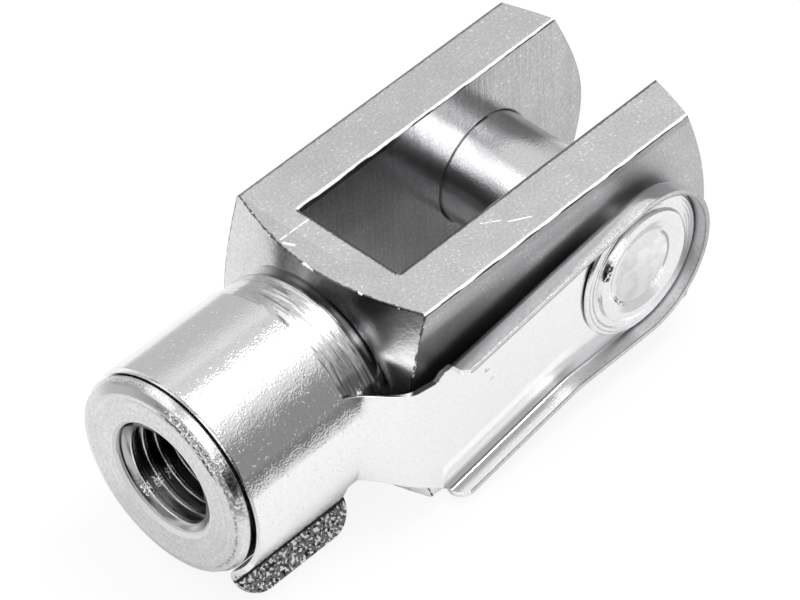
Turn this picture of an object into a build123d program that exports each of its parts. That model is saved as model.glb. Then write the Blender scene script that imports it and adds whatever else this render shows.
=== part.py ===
from build123d import *
import os
from math import acos, atan2, cos, degrees, radians, sin, tan

os.makedirs("parts", exist_ok=True)

# Clevis rod end, size 10 x 20 with an M10 x 1.25 female thread.
# X runs along the clevis from the shank to the fork tips, Y along the pin, Z up through the open slot.
# The origin is where the pin's axis crosses the clevis's axis. All sizes are in millimetres.

# fork body: square bar with turned ends
bar_width = 20.0
bar_edge_break = 0.2
slot_width = 10.6
slot_root_from_pin = 20.5
slot_edge_break = 0.2
tip_from_pin = 11.9
crown_angle = 26.8
crown_reach = 7.2
shoulder_angle = 27.4
shoulder_from_pin = 22.5
shoulder_fillet = 0.9
relief_depth = 0.2
relief_land = 0.05
shank_diameter = 17.5
shank_end_from_pin = 41.6
end_rim_length = 0.75
end_rim_depth = 0.95
end_rim_crown = 0.3

# threaded bore, drawn at the root of its female thread
thread_root_diameter = 10.0
countersink_diameter = 10.5

# pin and its head
pin_diameter = 10.0
pin_clearance = 0.03
bore_edge_break = 0.15
pin_end_overhang = 0.6
pin_end_chamfer = 0.8
rivet_neck_diameter = 7.4
rivet_neck_clearance = 0.03
head_diameter = 12.8
head_flange = 0.38
head_seat_diameter = 11.8
head_undercut = 0.14
head_ring_diameter = 10.1
head_ring_height = 0.42
head_ring_draft = 0.15
head_ring_shoulder = 0.08
head_ring_shoulder_width = 0.24
head_dish_diameter = 6.9
head_dish_depth = 0.28
head_dish_slope = 0.75

# spring clip: one pressed sheet
sheet = 0.5
clip_stand_off = 0.7
eye_radius = 7.08
flange_height = 1.86
bend_radius = 0.15
waist_from_pin = 8.4
waist_radius = 8.0
top_flange_from_pin = 21.0
top_flange_corner = 0.9
bottom_flange_corner = 1.3
arm_root_from_pin = 21.75
arm_root_top = 4.2
arm_root_bottom = 9.35
plate_top_at_arm = 4.15
plate_top_at_step = 3.7
plate_top_at_neck = 4.1
plate_step_from_pin = 21.8
plate_step_length = 1.0
plate_bottom_at_arm = 8.74
plate_bottom_at_neck = 6.22
neck_from_pin = 24.8
saddle_clearance = 0.2
saddle_shift = 0.15
saddle_back_from_pin = 29.75
saddle_front_from_pin = 40.5
saddle_far_angle = 42.0
saddle_bevel_angle = 53.3
saddle_edge_land = 0.16
neck_top_angle = 147.0
neck_bottom_angle = 198.0
lip_root_angle = 228.0
lip_bend_radius = 0.4
lip_turn = 84.0
lip_length = 2.2
lip_root_back_from_pin = 30.8
lip_back_from_pin = 28.7
lip_corner_radius = 2.4

# sizes that follow from the ones above
half_bar = bar_width / 2
half_slot = slot_width / 2
shank_radius = shank_diameter / 2
bar_corner_radius = half_bar * 2**0.5
pin_radius = pin_diameter / 2
bore_radius = pin_radius + pin_clearance
thread_radius = thread_root_diameter / 2
saddle_inner_radius = shank_radius + saddle_clearance
saddle_outer_radius = saddle_inner_radius + sheet
clip_back = half_bar + clip_stand_off
clip_face = clip_back + sheet

with BuildPart() as fork_body:
    # square bar with its long corners broken
    with BuildSketch(Plane.YZ.offset(-shank_end_from_pin)):
        Rectangle(bar_width, bar_width)
    extrude(amount=shank_end_from_pin + tip_from_pin)
    chamfer(fork_body.edges().filter_by(Axis.X), bar_edge_break)

    # what the lathe leaves: shank, relief, coned shoulder and coned crown
    relief_radius = shank_radius - relief_depth
    cone_run = (bar_corner_radius - relief_radius) * tan(radians(shoulder_angle))
    fillet_run = shoulder_fillet * tan(radians(90 - shoulder_angle) / 2)
    cone_foot_x = -shoulder_from_pin - cone_run
    relief_x = cone_foot_x - fillet_run - relief_land
    rim_crown_x = -shank_end_from_pin + end_rim_crown * end_rim_length
    rim_crown_radius = shank_radius - end_rim_crown * end_rim_depth
    crown_top_radius = bar_corner_radius - (tip_from_pin - crown_reach) / tan(radians(crown_angle))
    beyond = 1.0
    with BuildSketch(Plane.XY) as turned_profile:
        with BuildLine():
            start = Polyline(
                (-shank_end_from_pin, 0),
                (-shank_end_from_pin, shank_radius - end_rim_depth),
                (rim_crown_x, rim_crown_radius),
                (-shank_end_from_pin + end_rim_length, shank_radius),
                (relief_x, shank_radius),
                (relief_x, relief_radius),
                (cone_foot_x - fillet_run, relief_radius),
            )
            root = JernArc(start @ 1, (1, 0), shoulder_fillet, 90 - shoulder_angle)
            Polyline(
                root @ 1,
                (-shoulder_from_pin + beyond * tan(radians(shoulder_angle)), bar_corner_radius + beyond),
                (crown_reach - beyond * tan(radians(crown_angle)), bar_corner_radius + beyond),
                (tip_from_pin, crown_top_radius),
                (tip_from_pin, 0),
                (-shank_end_from_pin, 0),
            )
        make_face()
    revolve(axis=Axis.X, mode=Mode.INTERSECT)

    # slot for the eye of the rod
    slot_length = slot_root_from_pin + tip_from_pin
    with BuildSketch(Plane.XY.offset(-half_bar)):
        with Locations((-slot_root_from_pin, 0)):
            Rectangle(slot_length, slot_width, align=(Align.MIN, Align.CENTER))
    extrude(amount=bar_width, mode=Mode.SUBTRACT)
    slot_edges = (
        fork_body.edges()
        .filter_by(Axis.X)
        .filter_by(lambda e: abs(abs(e.center().Y) - half_slot) < 0.01)
        .filter_by(lambda e: abs(e.center().Z) > half_bar - 0.01)
    )
    root_edges = (
        fork_body.edges()
        .filter_by(Axis.Y)
        .filter_by(lambda e: abs(e.center().X + slot_root_from_pin) < 0.01)
    )
    chamfer(slot_edges + root_edges, slot_edge_break)

    # bore for the pin, through both ears
    with BuildSketch(Plane.XZ.offset(-half_bar)):
        Circle(bore_radius)
    extrude(amount=bar_width, mode=Mode.SUBTRACT)
    bore_edges = fork_body.edges().filter_by(GeomType.CIRCLE).filter_by(
        lambda e: abs(e.radius - bore_radius) < 0.001 and abs(e.arc_center.X) < 0.001
    )
    chamfer(bore_edges, bore_edge_break)

    # threaded bore with its countersink, from the shank's end into the slot
    bore_length = shank_end_from_pin - slot_root_from_pin
    countersink_depth = countersink_diameter / 2 - thread_radius
    with BuildSketch(Plane.XY) as bore_profile:
        with BuildLine():
            Polyline(
                (-shank_end_from_pin, 0),
                (-shank_end_from_pin, countersink_diameter / 2),
                (-shank_end_from_pin + countersink_depth, thread_radius),
                (-slot_root_from_pin, thread_radius),
                (-slot_root_from_pin, 0),
                close=True,
            )
        make_face()
    revolve(axis=Axis.X, mode=Mode.SUBTRACT)

with BuildPart() as clevis_pin:
    # plain pin with a riveted head that clamps the clip's eye
    neck_radius = rivet_neck_diameter / 2 - rivet_neck_clearance
    head_radius = head_diameter / 2
    seat_radius = head_seat_diameter / 2
    ring_radius = head_ring_diameter / 2
    ring_wall_radius = ring_radius - head_ring_draft
    dish_radius = head_dish_diameter / 2
    dish_edge_radius = dish_radius + head_dish_slope
    # the shoulder keeps to its half of the wall between the ring's flank and the dish
    shoulder_width = min(head_ring_shoulder_width, (ring_wall_radius - dish_edge_radius) / 2)
    pin_end = half_bar + pin_end_overhang
    flange_face = clip_face + head_flange
    ring_face = flange_face + head_ring_height
    dish_face = ring_face - head_dish_depth
    with BuildSketch(Plane.XY) as pin_profile:
        with BuildLine():
            Polyline(
                (0, pin_end),
                (pin_radius - pin_end_chamfer / 2, pin_end),
                (pin_radius, pin_end - pin_end_chamfer),
                (pin_radius, -clip_back),
                (neck_radius, -clip_back),
                (neck_radius, -clip_face),
                (seat_radius, -clip_face),
                (head_radius, -clip_face - head_undercut),
                (head_radius, -flange_face),
                (ring_radius, -flange_face),
                (ring_wall_radius, head_ring_shoulder - ring_face),
                (ring_wall_radius - shoulder_width, -ring_face),
                (dish_edge_radius, -ring_face),
                (dish_radius, -dish_face),
                (0, -dish_face),
                (0, pin_end),
            )
        make_face()
    revolve(axis=Axis.Y)
    rim = clevis_pin.edges().filter_by(GeomType.CIRCLE).filter_by(
        lambda e: abs(e.radius - head_radius) < 0.001 and e.center().Y < -flange_face + 0.01
    )
    chamfer(rim, head_flange / 3)

with BuildPart() as spring_clip:
    # arm and eye, pressed as a shallow tray whose borders stand away from the fork
    root_distance = (arm_root_from_pin**2 + arm_root_top**2) ** 0.5
    tangent_angle = degrees(atan2(arm_root_top, -arm_root_from_pin) - acos(eye_radius / root_distance))
    top_slope = -1 / tan(radians(tangent_angle))
    bottom_slope = (arm_root_bottom - eye_radius) / (arm_root_from_pin - waist_from_pin)
    spare = 3.0
    with BuildSketch(Plane.XZ.offset(clip_back)) as tray:
        Circle(eye_radius)
        with BuildLine():
            Polyline(
                (eye_radius * cos(radians(tangent_angle)), eye_radius * sin(radians(tangent_angle))),
                (-arm_root_from_pin - spare, arm_root_top - spare * top_slope),
                (-arm_root_from_pin - spare, -arm_root_bottom - spare * bottom_slope),
                (-waist_from_pin, -eye_radius),
                (0, -eye_radius),
                (0, 0),
                close=True,
            )
        make_face()
        fillet(tray.vertices().sort_by_distance((-waist_from_pin, -eye_radius))[0], waist_radius)
    extrude(amount=flange_height)
    back_edges = spring_clip.faces().sort_by(Axis.Y)[-1].edges().sort_by(Axis.X)[1:]
    fillet(back_edges, bend_radius + sheet)
    open_front = spring_clip.faces().sort_by(Axis.Y)[0]
    open_root = spring_clip.faces().sort_by(Axis.X)[0]
    offset(amount=-sheet, openings=[open_front, open_root])

    # each border of the tray starts with a rounded corner, behind the neck
    rim = clip_back + flange_height
    for base, start, corner in (
        (0, top_flange_from_pin, top_flange_corner),
        (-bar_width, arm_root_from_pin, bottom_flange_corner),
    ):
        with BuildSketch(Plane.XY.offset(base)):
            with Locations((-start + corner, -clip_face)):
                Rectangle(3 * spare, 2 * flange_height, align=(Align.MAX, Align.MAX))
                Rectangle(corner, rim - clip_face - corner, align=(Align.MAX, Align.MAX), mode=Mode.SUBTRACT)
            with Locations((-start + corner, corner - rim)):
                Circle(corner, mode=Mode.SUBTRACT)
            with Locations((-start, -clip_back)):
                Rectangle(3 * spare, 2 * sheet, align=(Align.MAX, Align.CENTER))
        extrude(amount=bar_width, mode=Mode.SUBTRACT)

    # flat root of the arm, as far as the neck, with a small rounded step down beside the upper border
    with BuildSketch(Plane.XZ.offset(clip_back)):
        with BuildLine():
            step_down = Spline(
                (-plate_step_from_pin, plate_top_at_arm),
                (-plate_step_from_pin - plate_step_length, plate_top_at_step),
                tangents=[(-1, 0), (-1, 0)],
            )
            Polyline(
                step_down @ 1,
                (-neck_from_pin, plate_top_at_neck),
                (-neck_from_pin, -plate_bottom_at_neck),
                (-arm_root_from_pin, -plate_bottom_at_arm),
                (-arm_root_from_pin, 0),
                (-top_flange_from_pin, 0),
                (-top_flange_from_pin, plate_top_at_arm),
                step_down @ 0,
            )
        make_face()
    extrude(amount=sheet)

    # neck: the sheet leaves the flat of the arm and comes round to the saddle, tangent at both ends
    neck_length = saddle_back_from_pin - neck_from_pin
    neck_middle_angle = (neck_top_angle + neck_bottom_angle) / 2
    plate_middle = (plate_top_at_neck - plate_bottom_at_neck) / 2
    steps = 5
    for step in range(steps):
        share = step / (steps - 1)
        bend = share**2 * (3 - 2 * share)
        sides = []
        for flat_y, radius in ((-clip_back, saddle_inner_radius), (-clip_face, saddle_outer_radius)):
            side = []
            for angle, flat_z in (
                (radians(neck_top_angle), plate_top_at_neck),
                (radians(neck_middle_angle), plate_middle),
                (radians(neck_bottom_angle), -plate_bottom_at_neck),
            ):
                round_y = radius * cos(angle) - saddle_shift
                round_z = radius * sin(angle)
                side.append((flat_y + bend * (round_y - flat_y), flat_z + share * (round_z - flat_z)))
            sides.append(side)
        inside, outside = sides
        with BuildSketch(Plane.YZ.offset(-neck_from_pin - share * neck_length)):
            with BuildLine():
                if step == 0:
                    Line(inside[0], inside[2])
                    Line(outside[0], outside[2])
                else:
                    ThreePointArc(*inside)
                    ThreePointArc(*outside)
                Line(inside[0], outside[0])
                Line(inside[2], outside[2])
            make_face()
    loft()

    # saddle that snaps over the shank
    saddle_center = (-saddle_shift, 0)
    saddle_length = saddle_front_from_pin - saddle_back_from_pin
    land_radius = saddle_inner_radius + saddle_edge_land
    land_corner = (
        land_radius * cos(radians(saddle_far_angle)) - saddle_shift,
        land_radius * sin(radians(saddle_far_angle)),
    )
    with BuildSketch(Plane.YZ.offset(-saddle_front_from_pin)):
        with BuildLine():
            inner = CenterArc(
                saddle_center, saddle_inner_radius, saddle_far_angle, neck_bottom_angle - saddle_far_angle
            )
            outer = CenterArc(
                saddle_center, saddle_outer_radius, saddle_bevel_angle, neck_bottom_angle - saddle_bevel_angle
            )
            Line(inner @ 1, outer @ 1)
            Polyline(inner @ 0, land_corner, outer @ 0)
        make_face()
    extrude(amount=saddle_length)

    # thumb lip, turned out of the saddle's lower edge
    root_sweep = lip_root_angle - neck_bottom_angle
    with BuildSketch(Plane.YZ.offset(-saddle_front_from_pin)):
        with BuildLine():
            inner_root = CenterArc(saddle_center, saddle_inner_radius, neck_bottom_angle, root_sweep)
            outer_root = CenterArc(saddle_center, saddle_outer_radius, neck_bottom_angle, root_sweep)
            Line(inner_root @ 1, outer_root @ 1)
            Line(inner_root @ 0, outer_root @ 0)
        make_face()
    extrude(amount=saddle_front_from_pin - lip_root_back_from_pin)
    with BuildSketch(Plane.YZ.offset(-saddle_front_from_pin)):
        with BuildLine():
            inner_bend = JernArc(inner_root @ 1, inner_root % 1, lip_bend_radius + sheet, -lip_turn)
            outer_bend = JernArc(outer_root @ 1, outer_root % 1, lip_bend_radius, -lip_turn)
            inner_lip = PolarLine(inner_bend @ 1, lip_length, direction=inner_bend % 1)
            outer_lip = PolarLine(outer_bend @ 1, lip_length, direction=outer_bend % 1)
            Line(inner_lip @ 1, outer_lip @ 1)
            Line(inner_root @ 1, outer_root @ 1)
        make_face()
    extrude(amount=saddle_front_from_pin - lip_back_from_pin)
    lip_heading = inner_lip % 1
    lip_tip = inner_lip @ 1
    lip_plane = Plane(
        origin=(-saddle_front_from_pin, lip_tip.X, lip_tip.Y),
        x_dir=(1, 0, 0),
        z_dir=(0, lip_heading.Y, -lip_heading.X),
    )
    lip_width = saddle_front_from_pin - lip_back_from_pin
    with BuildSketch(lip_plane):
        with Locations((lip_width / 2, 0)):
            Rectangle(lip_width + spare, 2 * lip_corner_radius)
        with Locations((lip_width / 2, lip_corner_radius)):
            SlotOverall(lip_width, 2 * lip_corner_radius, mode=Mode.SUBTRACT)
    extrude(amount=2 * sheet, both=True, mode=Mode.SUBTRACT)

    # hole for the rivet
    with BuildSketch(Plane.XZ.offset(clip_back)):
        Circle(rivet_neck_diameter / 2)
    extrude(amount=sheet, mode=Mode.SUBTRACT)

fork_body.part.label = "fork_body"
export_step(fork_body.part, "parts/fork_body.step")
clevis_pin.part.label = "clevis_pin"
export_step(clevis_pin.part, "parts/clevis_pin.step")
spring_clip.part.label = "spring_clip"
export_step(spring_clip.part, "parts/spring_clip.step")
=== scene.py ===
import math
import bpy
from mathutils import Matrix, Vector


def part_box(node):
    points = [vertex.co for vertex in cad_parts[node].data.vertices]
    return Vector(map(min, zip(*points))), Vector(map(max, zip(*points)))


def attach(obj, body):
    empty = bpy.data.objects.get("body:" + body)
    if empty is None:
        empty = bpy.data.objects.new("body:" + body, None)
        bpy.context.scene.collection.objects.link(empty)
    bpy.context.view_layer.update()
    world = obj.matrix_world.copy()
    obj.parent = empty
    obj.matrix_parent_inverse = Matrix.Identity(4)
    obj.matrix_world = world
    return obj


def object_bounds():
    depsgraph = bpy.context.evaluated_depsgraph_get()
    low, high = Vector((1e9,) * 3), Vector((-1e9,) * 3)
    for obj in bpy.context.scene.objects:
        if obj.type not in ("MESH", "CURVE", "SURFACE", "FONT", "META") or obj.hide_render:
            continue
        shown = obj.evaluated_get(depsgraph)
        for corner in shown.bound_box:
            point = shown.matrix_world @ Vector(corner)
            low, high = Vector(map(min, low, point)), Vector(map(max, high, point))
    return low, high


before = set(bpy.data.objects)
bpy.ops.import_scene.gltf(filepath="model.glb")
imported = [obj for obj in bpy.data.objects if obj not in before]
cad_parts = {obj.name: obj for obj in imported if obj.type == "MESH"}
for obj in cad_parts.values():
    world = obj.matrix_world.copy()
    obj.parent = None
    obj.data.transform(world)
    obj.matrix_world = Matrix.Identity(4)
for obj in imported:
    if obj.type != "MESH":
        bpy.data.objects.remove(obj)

from types import SimpleNamespace
import bpy
from mathutils import Matrix, Vector

cadBox = [list(corner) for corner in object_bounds()]
scene = bpy.context.scene
scene.view_settings.view_transform = "Standard"
mm = 0.001  # the plans are written in millimetres


# small helpers
def deselectAll():
    if bpy.context.mode != "OBJECT":
        bpy.ops.object.mode_set(mode="OBJECT")
    bpy.ops.object.select_all(action="DESELECT")


def applyModifier(piece, kind, name, **settings):
    modifier = piece.modifiers.new(name, kind)
    for key, value in settings.items():
        setattr(modifier, key, value)
    bpy.context.view_layer.objects.active = piece
    bpy.ops.object.modifier_apply(modifier=name)


def applyPlace(piece):
    deselectAll()
    piece.select_set(True)
    bpy.context.view_layer.objects.active = piece
    bpy.ops.object.transform_apply(location=True, rotation=True, scale=True)


# camera, looking down on the threaded end from the clip's side
cameraPlan = {
    "azimuth": -44.724,
    "height": 44.684,
    "roll": -2.51,
    "distance": 433.488,
    "across": -10.506,
    "along": -8.237,
    "lens": 245.267,
    "sensor": 36,
    "clipping": (0.01, 10),
}


def addCamera(plan):
    turn = math.radians(plan["azimuth"])
    lift = math.radians(plan["height"])
    back = Vector((math.sin(turn) * math.cos(lift), -math.cos(turn) * math.cos(lift), math.sin(lift)))
    flatRight = Vector((0, 0, 1)).cross(back).normalized()
    flatUp = back.cross(flatRight)
    roll = math.radians(plan["roll"])
    right = flatRight * math.cos(roll) + flatUp * math.sin(roll)
    up = flatUp * math.cos(roll) - flatRight * math.sin(roll)
    place = right * plan["across"] + up * plan["along"] + back * plan["distance"]
    camera = bpy.data.objects.new("studioCamera", bpy.data.cameras.new("studioCamera"))
    scene.collection.objects.link(camera)
    camera.data.sensor_width = plan["sensor"]
    camera.data.lens = plan["lens"]
    camera.data.clip_start, camera.data.clip_end = plan["clipping"]
    turned = Matrix((right, up, back)).transposed().to_4x4()
    camera.matrix_world = Matrix.Translation(place * mm) @ turned
    scene.camera = camera


addCamera(cameraPlan)
print("camera set")


# nodes: small wrappers that keep the recipes short
class Recipe:
    def __init__(self, tree):
        self.tree = tree
        tree.nodes.clear()

    def node(self, kind, inputs=None, **settings):
        made = self.tree.nodes.new(kind)
        for key, value in settings.items():
            setattr(made, key, value)
        for key, value in (inputs or {}).items():
            if isinstance(value, bpy.types.NodeSocket):
                self.tree.links.new(value, made.inputs[key])
            else:
                made.inputs[key].default_value = value
        return made

    def math(self, operation, first, second=0.0, third=0.0, clamp=False):
        made = self.node("ShaderNodeMath", {0: first, 1: second, 2: third}, operation=operation)
        made.use_clamp = clamp
        return made.outputs[0]

    def plus(self, first, second):
        return self.math("ADD", first, second)

    def minus(self, first, second):
        return self.math("SUBTRACT", first, second)

    def timesPlus(self, value, factor, rest):
        return self.math("MULTIPLY_ADD", value, factor, rest)

    def times(self, first, *others):
        for other in others:
            first = self.math("MULTIPLY", first, other)
        return first

    def larger(self, first, *others):
        for other in others:
            first = self.math("MAXIMUM", first, other)
        return first

    # a region is 1 inside and 0 outside: regions multiply where they overlap, and the larger joins them
    allOf = times
    anyOf = larger

    def outside(self, region):
        return self.minus(1.0, region)

    def without(self, region, other):
        return self.math("SUBTRACT", region, other, clamp=True)

    def above(self, value, limit):
        return self.math("GREATER_THAN", value, limit)

    def below(self, value, limit):
        return self.math("LESS_THAN", value, limit)

    def smooth(self, value, low, high, toLow=0.0, toHigh=1.0):
        made = self.node("ShaderNodeMapRange", {0: value, 1: low, 2: high, 3: toLow, 4: toHigh})
        made.interpolation_type = "SMOOTHSTEP"
        return made.outputs[0]

    def fade(self, value, low, high):
        return self.smooth(value, low, high, 1.0, 0.0)

    def within(self, value, low, high, edge=0.02):
        return self.allOf(self.smooth(value, low - edge, low), self.fade(value, high, high + edge))

    def mix(self, factor, first, second):
        return self.node("ShaderNodeMix", {0: factor, 2: first, 3: second}, data_type="FLOAT").outputs[0]

    def shade(self, tone, region, factor):
        return self.times(tone, self.mix(region, 1.0, factor))

    def scaled(self, vector, factor):
        return self.node("ShaderNodeVectorMath", {0: vector, "Scale": factor}, operation="SCALE").outputs[0]

    def split(self, vector):
        return self.node("ShaderNodeSeparateXYZ", {0: vector}).outputs

    def noise(self, scale, detail=2.0, roughness=0.5, stretch=(1, 1, 1), shift=(0, 0, 0)):
        place = self.node("ShaderNodeTexCoord").outputs["Object"]
        place = self.node("ShaderNodeMapping", {"Vector": place, "Scale": stretch, "Location": shift})
        made = self.node("ShaderNodeTexNoise", {"Vector": place.outputs[0], "Scale": scale,
                                                "Detail": detail, "Roughness": roughness})
        return made.outputs["Fac"]

    def lines(self, along, scale):
        # marks of a tool, the same all along each line
        made = self.node("ShaderNodeTexNoise", {"W": along, "Scale": scale, "Detail": 3.0,
                                                "Roughness": 0.65}, noise_dimensions="1D")
        return made.outputs["Fac"]

    def vary(self, noise, spread, reach=0.15):
        # a factor near 1; the noise lies mostly within reach of its middle
        return self.smooth(noise, 0.5 - reach, 0.5 + reach, 1 - spread, 1 + spread)

    def wander(self, noise, most, reach=0.15):
        # a distance either way, which makes an edge ragged
        return self.smooth(noise, 0.5 - reach, 0.5 + reach, -most, most)

    def distance(self, first, second):
        squares = self.timesPlus(first, first, self.times(second, second))
        return self.math("SQRT", squares)

    def heading(self, first, second, away, towards, sweep):
        # how nearly a point lies in one direction round an axis, between the two cosines of the sweep
        turn = self.timesPlus(first, towards[0], self.times(second, towards[1]))
        return self.smooth(self.math("DIVIDE", turn, away), *sweep)

    def stroke(self, first, second, start, end, width):
        # a straight mark between two points of a face
        length = math.dist(start, end)
        stepA = (end[0] - start[0]) / length
        stepB = (end[1] - start[1]) / length
        along = self.timesPlus(first, stepA, -start[0] * stepA - start[1] * stepB)
        along = self.timesPlus(second, stepB, along)
        across = self.timesPlus(first, stepB, start[1] * stepA - start[0] * stepB)
        across = self.math("ABSOLUTE", self.timesPlus(second, -stepA, across))
        return self.allOf(self.fade(across, width / 4, width / 2), self.within(along, 0.0, length, width))


def newMaterial(name):
    material = bpy.data.materials.new(name)
    material.use_nodes = True
    return material, Recipe(material.node_tree)


# world: white where the camera looks past the part; the metal sees a pale studio with a dark side
worldPlan = {
    "pale": 0.86,
    "darkSpread": {"along": (-0.9, 0.6), "level": (0.02, 0.3)},
    "backBand": {"towards": (0.5, 0.85, 0.25), "edge": (0.84, 0.97), "loss": 0.27},
    "darkSide": (-0.358, -0.934, 0.0),
    "darkEdge": (0.03, 0.2),
    "darkTop": (0.56, 0.74),
    "lights": (
        {"towards": (0.3, -0.17, 0.94), "edge": (0.95, 0.985), "gain": 0.55},
        {"towards": (-0.5, -0.5, 0.72), "edge": (0.86, 0.94), "gain": 1.5},
        {"towards": (-0.5, 0.51, 0.7), "edge": (0.93, 0.97), "gain": 0.9},
    ),
}


def addWorld(plan):
    world = bpy.data.worlds.new("studio")
    scene.world = world
    world.use_nodes = True
    recipe = Recipe(world.node_tree)
    direction = recipe.node("ShaderNodeTexCoord").outputs["Generated"]

    def along(vector):
        return recipe.node("ShaderNodeVectorMath", {0: direction, 1: Vector(vector).normalized()},
                           operation="DOT_PRODUCT").outputs["Value"]

    axes = recipe.split(direction)
    side = recipe.smooth(along(plan["darkSide"]), *plan["darkEdge"])
    low = recipe.fade(axes["Z"], *plan["darkTop"])
    spread = plan["darkSpread"]
    dark = recipe.smooth(axes["X"], *spread["along"], *spread["level"])
    level = recipe.mix(recipe.allOf(side, low), plan["pale"], dark)
    band = plan["backBand"]
    loss = recipe.smooth(along(band["towards"]), *band["edge"], toHigh=band["loss"])
    level = recipe.minus(level, loss)
    for light in plan["lights"]:
        glow = recipe.smooth(along(light["towards"]), *light["edge"], toHigh=light["gain"])
        level = recipe.plus(level, glow)
    seen = recipe.node("ShaderNodeLightPath").outputs["Is Camera Ray"]
    strength = recipe.mix(seen, level, 1.0)
    background = recipe.node("ShaderNodeBackground", {"Color": (1, 1, 1, 1), "Strength": strength})
    recipe.node("ShaderNodeOutputWorld", {"Surface": background.outputs[0]})


addWorld(worldPlan)

lampPlan = {"place": (90, -40, 330), "aim": (-12, 0, 0), "size": 160, "power": 0.6}


def addLamp(name, plan):
    data = bpy.data.lights.new(name, "AREA")
    data.shape = "DISK"
    data.size = plan["size"] * mm
    data.energy = plan["power"]
    lamp = bpy.data.objects.new(name, data)
    scene.collection.objects.link(lamp)
    place = Vector(plan["place"]) * mm
    turn = (Vector(plan["aim"]) * mm - place).to_track_quat("-Z", "Y")
    lamp.matrix_world = Matrix.Translation(place) @ turn.to_matrix().to_4x4()


addLamp("overhead", lampPlan)
print("studio lit")

# floor: the camera and the metal see it white, and it keeps a little of the part's shadow
floorPlan = {
    "size": 400,
    "height": cadBox[0][2] / mm,
    "colour": (0.86, 0.86, 0.86),
    "whiteness": 0.88,
    "glossWhiteness": 0.55,
    "under": {"X": (-43, -41, 12, 20), "Y": (-13.5, -10, 10, 13.5)},
    "dimSide": {"X": (-130, -68), "Y": (-230, -120)},
    "dimLevel": 0.1,
}


def addFloor(plan):
    deselectAll()
    bpy.ops.mesh.primitive_plane_add(size=plan["size"] * mm, location=(0, 0, plan["height"] * mm))
    floor = bpy.context.active_object
    floor.name = "studioFloor"
    applyPlace(floor)
    material, recipe = newMaterial("paleFloor")
    light = recipe.node("ShaderNodeLightPath").outputs
    place = recipe.split(recipe.scaled(recipe.node("ShaderNodeTexCoord").outputs["Object"], 1 / mm))
    # right under the part the glow is taken out in a fixed box, a painted shadow in what the metal sees, so
    # it sees only what light gets there
    under = 1.0
    for axis, (start, full, last, end) in plan["under"].items():
        inside = recipe.allOf(recipe.smooth(place[axis], start, full), recipe.fade(place[axis], last, end))
        under = recipe.allOf(inside, under)
    gloss = recipe.times(recipe.outside(under), plan["glossWhiteness"])
    share = recipe.times(light["Is Camera Ray"], plan["whiteness"])
    share = recipe.timesPlus(light["Is Glossy Ray"], gloss, share)
    # and further off the floor is painted darker towards the dark side of the studio, in what the metal
    # sees
    level = 1.0
    for axis, (low, high) in plan["dimSide"].items():
        level = recipe.times(recipe.smooth(place[axis], low, high, plan["dimLevel"], 1.0), level)
    level = recipe.larger(level, recipe.outside(light["Is Glossy Ray"]))
    paint = recipe.node("ShaderNodeBsdfDiffuse", {"Color": recipe.scaled(plan["colour"], level)})
    glow = recipe.node("ShaderNodeEmission", {"Color": (1, 1, 1, 1), "Strength": level})
    mixed = recipe.node("ShaderNodeMixShader", {0: share, 1: paint.outputs[0], 2: glow.outputs[0]})
    recipe.node("ShaderNodeOutputMaterial", {"Surface": mixed.outputs[0]})
    floor.data.materials.append(material)


addFloor(floorPlan)
print("floor laid")


# what the steel recipes share: where a point is, in millimetres, and which way it faces
def measure(recipe):
    coords = recipe.node("ShaderNodeTexCoord").outputs
    x, y, z = recipe.split(recipe.scaled(coords["Object"], 1 / mm))
    facing = recipe.split(coords["Normal"])
    faceX, faceY, faceZ = [recipe.math("ABSOLUTE", facing[axis]) for axis in range(3)]
    return SimpleNamespace(x=x, y=y, z=z, radius=recipe.distance(y, z), towardsY=facing[1],
                           sideY=recipe.math("ABSOLUTE", y), sideZ=recipe.math("ABSOLUTE", z),
                           faceX=faceX, faceY=faceY, faceZ=faceZ)


def finishSteel(recipe, plan, tone, roughness, height, metallic=1.0):
    colour = recipe.scaled(plan["colour"], tone)
    soft = recipe.node("ShaderNodeBevel", {"Radius": plan["soften"] * mm}, samples=4)
    relief = recipe.node("ShaderNodeBump", {"Strength": 1.0, "Distance": plan["bump"] * mm,
                                            "Height": height, "Normal": soft.outputs[0]})
    made = recipe.node("ShaderNodeBsdfPrincipled", {"Base Color": colour, "Roughness": roughness,
                                                    "Metallic": metallic, "Normal": relief.outputs[0]})
    recipe.node("ShaderNodeOutputMaterial", {"Surface": made.outputs[0]})


forkLow, forkHigh = [[place / mm for place in corner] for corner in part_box("fork_body")]
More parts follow.
